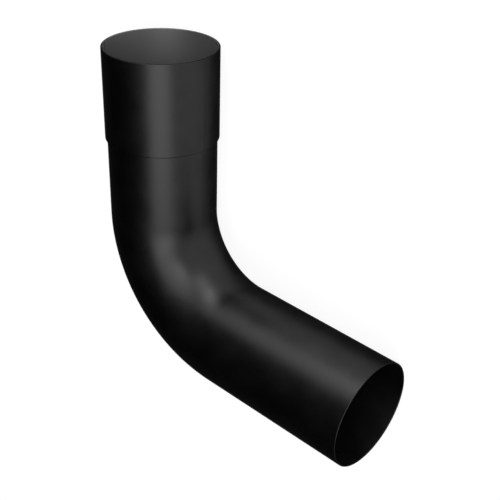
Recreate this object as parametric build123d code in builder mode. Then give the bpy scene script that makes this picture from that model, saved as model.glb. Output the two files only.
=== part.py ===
from build123d import *

import os

# Bend for a round metal rainwater downpipe: one length of thin tube, swaged out into a socket at
# its upper end, bent once to turn the water, and cut square at its lower end.
#
# The origin is the centre of the socket's mouth. The socket opens towards +Y, the bend turns
# towards +X, and +Z is up with the bend lying on its side. All sizes are in millimetres.

# Tube
pipe_diameter = 76.0
wall = 1.2

# Socket, which slips over the plain end of the pipe above
socket_clearance = 0.25  # gap all round between the pipe and the socket's bore
socket_depth = 62.5  # from the mouth to the shoulder that the pipe stops on

# Shoulder, where the socket steps down to the tube
shoulder_run = 0.5  # length of the step along the axis
shoulder_rounding = 0.4

# Centreline
upper_length = 120.0  # from the socket's mouth to the start of the bend
bend_radius = 76.0
bend_angle = 87.5
lower_length = 119.0  # from the end of the bend to the plain end

# Deburred edges of both ends
rim_rounding = 0.3

pipe_radius = pipe_diameter / 2
pipe_bore_radius = pipe_radius - wall
socket_bore_radius = pipe_radius + socket_clearance

with BuildPart() as downpipe_bend:
    # Upper leg: the wall of the socket, its shoulder and the tube below, turned about the axis.
    # The bore's outline is drawn first, and the wall stands outside it at one thickness.
    with BuildSketch(Plane.XY) as upper_wall:
        with BuildLine():
            bore_outline = Polyline(
                (socket_bore_radius, 0),
                (socket_bore_radius, -socket_depth),
                (pipe_bore_radius, -socket_depth - shoulder_run),
                (pipe_bore_radius, -upper_length),
            )
            offset(bore_outline, amount=wall, kind=Kind.INTERSECTION, side=Side.LEFT)
        make_face()
        shoulder_corners = upper_wall.vertices().sort_by(Axis.Y)[2:-2]
        fillet(shoulder_corners, radius=shoulder_rounding)
    revolve(axis=Axis.Y)

    # Bend and lower leg: the section of the tube, swept along the centreline
    with BuildLine(Plane.XY) as centreline:
        elbow = JernArc(
            start=(0, -upper_length), tangent=(0, -1), radius=bend_radius, arc_size=bend_angle
        )
        PolarLine(start=elbow @ 1, length=lower_length, direction=elbow % 1)
    with BuildSketch(Plane(origin=elbow @ 0, z_dir=elbow % 0)):
        Circle(pipe_radius)
        Circle(pipe_bore_radius, mode=Mode.SUBTRACT)
    sweep(path=centreline.line)

    # The two flat ends are the only flat faces of the bend
    flat_ends = downpipe_bend.faces().filter_by(GeomType.PLANE)
    fillet(flat_ends.edges(), radius=rim_rounding)

downpipe_bend.part.label = "downpipe_bend"

os.makedirs("parts", exist_ok=True)
export_step(downpipe_bend.part, "parts/downpipe_bend.step")
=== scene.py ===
import math

import bpy
from mathutils import Matrix, Vector


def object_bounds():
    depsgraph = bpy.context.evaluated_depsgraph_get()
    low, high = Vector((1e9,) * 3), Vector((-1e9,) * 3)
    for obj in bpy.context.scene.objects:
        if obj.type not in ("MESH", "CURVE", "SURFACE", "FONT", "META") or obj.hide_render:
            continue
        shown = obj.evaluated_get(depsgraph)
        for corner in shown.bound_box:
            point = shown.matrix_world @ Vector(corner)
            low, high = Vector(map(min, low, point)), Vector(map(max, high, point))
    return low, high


# A bend for a round metal rainwater downpipe, with a satin black coat, lying on its side on a
# white studio floor. The socket's axis is Y and its mouth is at 0. The bend turns towards +X,
# and +Z is up. Lengths are in metres. Colours and strengths are linear, and white is 1.

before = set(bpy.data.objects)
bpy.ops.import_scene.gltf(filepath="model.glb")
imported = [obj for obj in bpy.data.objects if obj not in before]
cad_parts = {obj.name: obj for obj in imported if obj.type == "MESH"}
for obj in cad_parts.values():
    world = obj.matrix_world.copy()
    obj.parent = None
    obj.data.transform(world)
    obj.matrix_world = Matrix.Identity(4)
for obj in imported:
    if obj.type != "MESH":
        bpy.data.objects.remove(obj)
cad_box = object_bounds()

WHITE = (1, 1, 1, 1)

# Socket, as in the part
SOCKET_BORE_RADIUS = 0.03825
SOCKET_DEPTH = 0.0625

# Outer coat: sprayed and baked satin black
COAT_DARK = (0.032, 0.032, 0.0325, 1)
COAT_LIGHT = (0.036, 0.036, 0.0365, 1)
COAT_EDGE = (0, 0, 0, 1)  # its sheen where it is seen nearly edge on
COAT_ROUGHNESS = 0.39
ROUGHNESS_CHANGE = 0.02  # up and down, where the gloss is uneven
CLEAR_LACQUER = 0.015  # a trace, as rough as the coat
PEEL_SIZE = 0.0024  # width of the orange peel's lumps
PEEL_DETAIL = 1.5
PEEL_DEPTH = 0.00003
PEEL_STRENGTH = 0.5
PATCH_SIZE = 0.016  # width of the patches of uneven gloss
PATCH_DETAIL = 3.0
PATCH_SPAN = (0.35, 0.65)  # noise values at which a patch is fully dark and fully light

# Inside of the socket, from its mouth to its shoulder: painted light. Its colour is made lighter so
# that the inside looks lit, and it is more matt.
SOCKET_PAINTED_LIGHT = (0.23, 0.23, 0.233, 1)
INNER_ROUGHNESS = 0.5
INNER_METALLIC = 0.8
INNER_FADE = 0.012  # length over which it gives way to the outer coat, above the shoulder
EDGE_FADE = 0.0003  # the same across the rounded edge of the mouth

# Floor, and the white wall round the studio
FLOOR_SIDE = 24.0
FLOOR_PALE = (0.8, 0.8, 0.8, 1)
FLOOR_GLOW = (0.9, 1.0)  # what the floor shows without lamplight, near the part and far away
FLOOR_REACH = (0.8, 3.0)  # distances between which it changes from one to the other
FLOOR_SHADE = (0.16, 0.16, 0.16, 1)  # what lamplight adds to that
WALL_TOP = 12  # degrees above the horizon that the wall is white up to
WALL_END = 25  # degrees at which it has faded to the dark ceiling
FILL = 0.1  # light from all round on matt surfaces

# Camera, fitted to the photograph's outline
CAMERA_PLACE = Vector((0.435683, 0.186758, 0.402588))
CAMERA_FORWARD = Vector((-0.57042, -0.49936, -0.65212)).normalized()
CAMERA_ROLL = 1.783  # degrees
CAMERA_LENS = 66.15  # mm, on a sensor 36 mm wide
SOCKET_AXIS = Vector((0, 1, 0))

# Lamps
LAMP_TARGET = Vector((0.077, -0.120, 0.0))
LAMP_DISTANCE = 3.0


def put(obj):
    """Puts an object in the scene."""
    bpy.context.collection.objects.link(obj)
    return obj


def empty_tree(owner):
    """The node tree of a material or world, with nothing in it."""
    owner.use_nodes = True
    owner.node_tree.nodes.clear()
    return owner.node_tree


def add(tree, kind, name, inputs, **settings):
    """Adds a node with its settings. Each input is given a value, or the socket that feeds it."""
    node = tree.nodes.new(kind)
    node.name = node.label = name
    for key, value in settings.items():
        setattr(node, key, value)
    for key, value in inputs.items():
        if isinstance(value, bpy.types.NodeSocket):
            tree.links.new(value, node.inputs[key])
        else:
            node.inputs[key].default_value = value
    return node


def combine(tree, name, operation, a, b):
    """The result of a Math node, held between 0 and 1."""
    node = add(tree, "ShaderNodeMath", name, {0: a, 1: b}, operation=operation, use_clamp=True)
    return node.outputs[0]


def length(tree, name, vector):
    """How long a vector is."""
    return add(tree, "ShaderNodeVectorMath", name, {0: vector}, operation="LENGTH").outputs["Value"]


def spread(tree, name, value, before, after):
    """Maps a value from one span to another, and holds it at both ends."""
    spans = {"From Min": before[0], "From Max": before[1], "To Min": after[0], "To Max": after[1]}
    return add(tree, "ShaderNodeMapRange", name, {"Value": value, **spans}).outputs[0]


def noise(tree, name, where, size, detail):
    """Noise whose lumps are about size across."""
    inputs = {"Vector": where, "Scale": 1 / size, "Detail": detail}
    return add(tree, "ShaderNodeTexNoise", name, inputs).outputs["Fac"]


def mix(tree, name, kind, share, a, b):
    """A number (FLOAT) or colour (RGBA) between two others, by share."""
    first, result = {"FLOAT": (2, 0), "RGBA": (6, 2)}[kind]
    node = add(tree, "ShaderNodeMix", name, {0: share, first: a, first + 1: b}, data_type=kind)
    return node.outputs[result]


def seen_directly(tree):
    """1 for what the camera, a glossy surface or clear matter shows, and 0 for light on matt ones."""
    ray = add(tree, "ShaderNodeLightPath", "kind of ray", {}).outputs
    seen = combine(tree, "camera or glossy", "ADD", ray["Is Camera Ray"], ray["Is Glossy Ray"])
    return combine(tree, "seen directly", "ADD", seen, ray["Is Transmission Ray"])


def inside_socket(tree, place):
    """1 on the inside of the socket and 0 elsewhere: near its axis, and above its shoulder."""
    x, y, z = add(tree, "ShaderNodeSeparateXYZ", "axes", {0: place}).outputs
    flat = add(tree, "ShaderNodeCombineXYZ", "across the axis", {0: x, 2: z}).outputs[0]
    edge = (SOCKET_BORE_RADIUS, SOCKET_BORE_RADIUS + EDGE_FADE)
    in_bore = spread(tree, "in the bore", length(tree, "radius", flat), edge, (1, 0))
    end = (-SOCKET_DEPTH, INNER_FADE - SOCKET_DEPTH)
    in_depth = spread(tree, "in the socket", y, end, (0, 1))
    return combine(tree, "inside the socket", "MULTIPLY", in_bore, in_depth)


def make_coat():
    """The satin black coat, with orange peel and uneven gloss, and painted light inside the socket."""
    coat = bpy.data.materials.new("satin_black_coat")
    tree = empty_tree(coat)
    place = add(tree, "ShaderNodeTexCoord", "place", {}).outputs["Object"]
    # inner marks the inside of the socket, where light is painted into the colour
    inner = inside_socket(tree, place)

    peel = noise(tree, "orange peel", place, PEEL_SIZE, PEEL_DETAIL)
    relief_inputs = {"Height": peel, "Strength": PEEL_STRENGTH, "Distance": PEEL_DEPTH}
    relief = add(tree, "ShaderNodeBump", "relief", relief_inputs).outputs[0]

    patches = noise(tree, "uneven gloss", place, PATCH_SIZE, PATCH_DETAIL)
    share = spread(tree, "patches", patches, PATCH_SPAN, (0, 1))
    coat_colour = mix(tree, "coat colour", "RGBA", share, COAT_DARK, COAT_LIGHT)
    rough_span = (COAT_ROUGHNESS - ROUGHNESS_CHANGE, COAT_ROUGHNESS + ROUGHNESS_CHANGE)
    coat_roughness = spread(tree, "coat roughness", share, (0, 1), rough_span)

    inputs = {
        # inside the socket the colour is painted lighter: painted light
        "Base Color": mix(tree, "colour", "RGBA", inner, coat_colour, SOCKET_PAINTED_LIGHT),
        "Metallic": spread(tree, "metallic", inner, (0, 1), (1, INNER_METALLIC)),
        "Roughness": mix(tree, "roughness", "FLOAT", inner, coat_roughness, INNER_ROUGHNESS),
        "Specular Tint": COAT_EDGE,
        "Coat Weight": CLEAR_LACQUER,
        "Coat Roughness": COAT_ROUGHNESS,
        "Normal": relief,
    }
    shader = add(tree, "ShaderNodeBsdfPrincipled", "coat", inputs)
    add(tree, "ShaderNodeOutputMaterial", "output", {"Surface": shader.outputs[0]})
    return coat


def make_floor_material():
    """Pale for light on matt surfaces. Seen directly, it glows white and takes lamplight's shade."""
    pale = bpy.data.materials.new("pale_floor")
    tree = empty_tree(pale)
    plain = add(tree, "ShaderNodeBsdfDiffuse", "plain", {"Color": FLOOR_PALE}).outputs[0]
    place = add(tree, "ShaderNodeTexCoord", "place", {}).outputs["Object"]
    away = length(tree, "away", place)
    strength = spread(tree, "glow strength", away, FLOOR_REACH, FLOOR_GLOW)
    glow = add(tree, "ShaderNodeEmission", "glow", {"Color": WHITE, "Strength": strength}).outputs[0]
    shade = add(tree, "ShaderNodeBsdfDiffuse", "shade", {"Color": FLOOR_SHADE}).outputs[0]
    white = add(tree, "ShaderNodeAddShader", "white", {0: glow, 1: shade}).outputs[0]
    choice = add(tree, "ShaderNodeMixShader", "choice", {0: seen_directly(tree), 1: plain, 2: white})
    add(tree, "ShaderNodeOutputMaterial", "output", {"Surface": choice.outputs[0]})
    pale.cycles.emission_sampling = "NONE"
    return pale


def make_floor():
    """The floor that the part lies on. It shows white, and keeps the part's shadow."""
    half = FLOOR_SIDE / 2
    height = cad_box[0].z
    corners = [(x, y, height) for x, y in ((-half, -half), (half, -half), (half, half), (-half, half))]
    mesh = bpy.data.meshes.new("floor")
    mesh.from_pydata(corners, [], [(0, 1, 2, 3)])
    mesh.materials.append(make_floor_material())
    put(bpy.data.objects.new("floor", mesh))


def make_world():
    """A white wall round the studio, under a dark ceiling, and an even fill for matt surfaces."""
    world = bpy.data.worlds.new("studio")
    world.cycles.sampling_method = "NONE"
    tree = empty_tree(world)
    direction = add(tree, "ShaderNodeTexCoord", "direction", {}).outputs["Generated"]
    height = add(tree, "ShaderNodeSeparateXYZ", "height", {0: direction}).outputs[2]
    wall_span = (math.sin(math.radians(WALL_TOP)), math.sin(math.radians(WALL_END)))
    wall = spread(tree, "white wall", height, wall_span, (1, 0))
    strength = mix(tree, "wall or fill", "FLOAT", seen_directly(tree), FILL, wall)
    background = add(tree, "ShaderNodeBackground", "background", {"Color": WHITE, "Strength": strength})
    add(tree, "ShaderNodeOutputWorld", "output", {"Surface": background.outputs[0]})
    bpy.context.scene.world = world


def stand(obj, place, right, up, back):
    """Places an object that looks away from back, with its own right and up."""
    turn = Matrix((right, up, back)).transposed().to_4x4()
    obj.matrix_world = Matrix.Translation(place) @ turn


def camera_axes():
    """The camera's right and up, with the socket's axis upright before the roll."""
    right = CAMERA_FORWARD.cross(SOCKET_AXIS).normalized()
    up = right.cross(CAMERA_FORWARD)
    roll = math.radians(CAMERA_ROLL)
    rolled_right = right * math.cos(roll) + up * math.sin(roll)
    rolled_up = up * math.cos(roll) - right * math.sin(roll)
    return rolled_right, rolled_up


def make_camera():
    """The camera at the photograph's viewing angle."""
    data = bpy.data.cameras.new("camera")
    data.lens = CAMERA_LENS
    camera = put(bpy.data.objects.new("camera", data))
    stand(camera, CAMERA_PLACE, *camera_axes(), -CAMERA_FORWARD)
    bpy.context.scene.camera = camera


def face_side(degrees):
    """The side of a softbox that looks so many degrees across from the part."""
    return 2 * LAMP_DISTANCE * math.tan(math.radians(degrees) / 2)


def softbox(name, sideways, upwards, width, height, brightness):
    """A softbox that faces the part, placed and sized in degrees as seen from the part.

    Upwards turns from the camera's direction over the top of its view, and sideways then turns
    to its right. Brightness is that of the box's face.
    """
    right, up = camera_axes()
    sideways = math.radians(sideways)
    upwards = math.radians(upwards)
    over = up * math.sin(upwards) - CAMERA_FORWARD * math.cos(upwards)
    back = right * math.sin(sideways) + over * math.cos(sideways)
    side = right * math.cos(sideways) - over * math.sin(sideways)
    data = bpy.data.lights.new(name, "AREA")
    data.shape = "RECTANGLE"
    data.size = face_side(width)
    data.size_y = face_side(height)
    data.energy = brightness * math.pi * data.size * data.size_y
    lamp = put(bpy.data.objects.new(name, data))
    stand(lamp, LAMP_TARGET + back * LAMP_DISTANCE, side, back.cross(side), back)


coat = make_coat()
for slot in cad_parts["downpipe_bend"].material_slots:
    slot.link = "OBJECT"
    slot.material = coat

make_floor()
make_world()
make_camera()

softbox("front", sideways=-10, upwards=-5, width=45, height=60, brightness=2.1)
softbox("key", sideways=5, upwards=-5, width=15, height=20, brightness=4.2)
softbox("low", sideways=0, upwards=-47, width=40, height=24, brightness=4.0)
softbox("far", sideways=-8, upwards=53, width=22, height=16, brightness=7.2)
softbox("far_left", sideways=-34, upwards=55, width=28, height=20, brightness=2.6)
softbox("far_right", sideways=14, upwards=38, width=16, height=16, brightness=4.4)

bpy.context.scene.view_settings.view_transform = "Standard"
